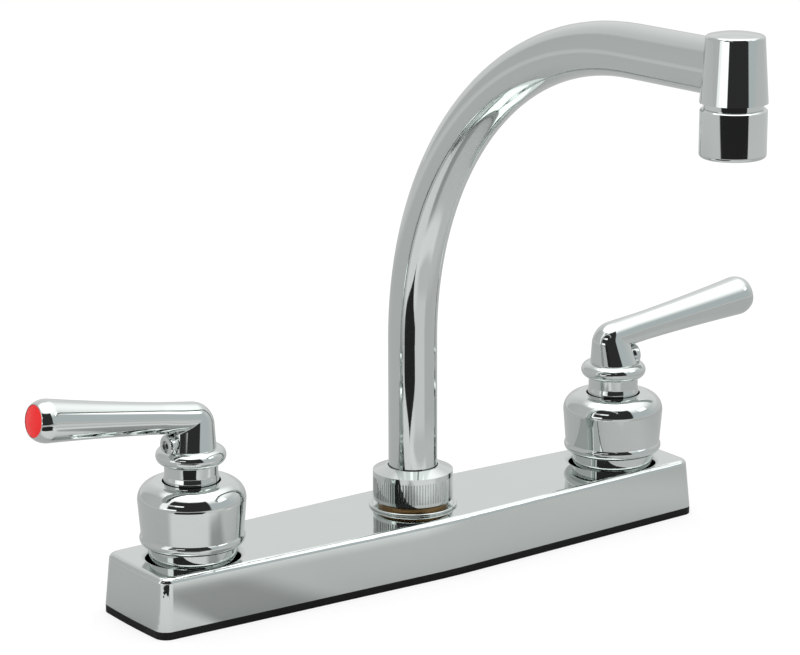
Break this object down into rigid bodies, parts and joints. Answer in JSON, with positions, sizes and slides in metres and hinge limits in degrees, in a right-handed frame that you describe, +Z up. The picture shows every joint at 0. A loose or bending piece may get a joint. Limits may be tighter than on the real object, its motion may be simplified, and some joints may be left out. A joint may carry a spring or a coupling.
{
  "type": "kitchen faucet",
  "caption": "High-arc deck-mounted kitchen faucet: swivelling gooseneck spout with aerator between hot and cold lever handles on a long chrome deck cover.",
  "frame": {"origin": "on the spout's turning axis, at the underside of the base plate", "axes": "+X from the spout axis to the cold handle, -Y the way the spout points (to the user), +Z up"},
  "size_m": [0.3354, 0.2174, 0.2792],
  "materials": {
    "chrome": "bright polished plating",
    "black_plastic": "satin moulded",
    "brass": "machined",
    "ceramic": "lapped",
    "rubber": "matt",
    "steel": "plain",
    "red_button": "glossy moulded",
    "blue_button": "glossy moulded",
    "white_plastic": "moulded"
  },
  "bodies": {
    "base": {"deck_cover": "chrome", "base_plate": "black_plastic", "spout_hub": "brass", "retaining_ring": "chrome", "coupling_nut": "chrome", "hot_valve_body": "brass", "hot_crossover_tube": "brass", "hot_lock_washer": "steel", "hot_lock_nut": "brass", "hot_seat_seal": "rubber", "hot_cartridge_sleeve": "brass", "hot_cartridge_bonnet": "brass", "hot_fixed_disc": "ceramic", "hot_bell": "chrome", "cold_valve_body": "brass", "cold_crossover_tube": "brass", "cold_lock_washer": "steel", "cold_lock_nut": "brass", "cold_seat_seal": "rubber", "cold_cartridge_sleeve": "brass", "cold_cartridge_bonnet": "brass", "cold_fixed_disc": "ceramic", "cold_bell": "chrome"},
    "spout": {"spout_tube": "chrome", "spout_end": "chrome", "spout_tailpiece": "brass", "spout_o_rings": "rubber", "spout_bearing_ring": "white_plastic", "aerator_shell": "chrome", "aerator_washer": "rubber", "aerator_diffuser": "white_plastic", "aerator_screen": "steel"},
    "hot_lever": {"hot_handle": "chrome", "hot_index_button": "red_button", "hot_set_screw": "steel", "hot_stem": "brass", "hot_moving_disc": "ceramic", "hot_stem_o_ring": "rubber"},
    "cold_lever": {"cold_handle": "chrome", "cold_index_button": "blue_button", "cold_set_screw": "steel", "cold_stem": "brass", "cold_moving_disc": "ceramic", "cold_stem_o_ring": "rubber"}
  },
  "joints": [
    {"name": "spout_swivel", "type": "hinge", "parent": "base", "child": "spout", "pos_m": [0, 0, 0.03], "axis": [0, 0, 1], "continuous": true},
    {"name": "hot_turn", "type": "hinge", "parent": "base", "child": "hot_lever", "pos_m": [-0.1016, 0, 0.05], "axis": [0, 0, 1], "range_deg": [0, 90]},
    {"name": "cold_turn", "type": "hinge", "parent": "base", "child": "cold_lever", "pos_m": [0.1016, 0, 0.05], "axis": [0, 0, 1], "range_deg": [-90, 0]}
  ]
}
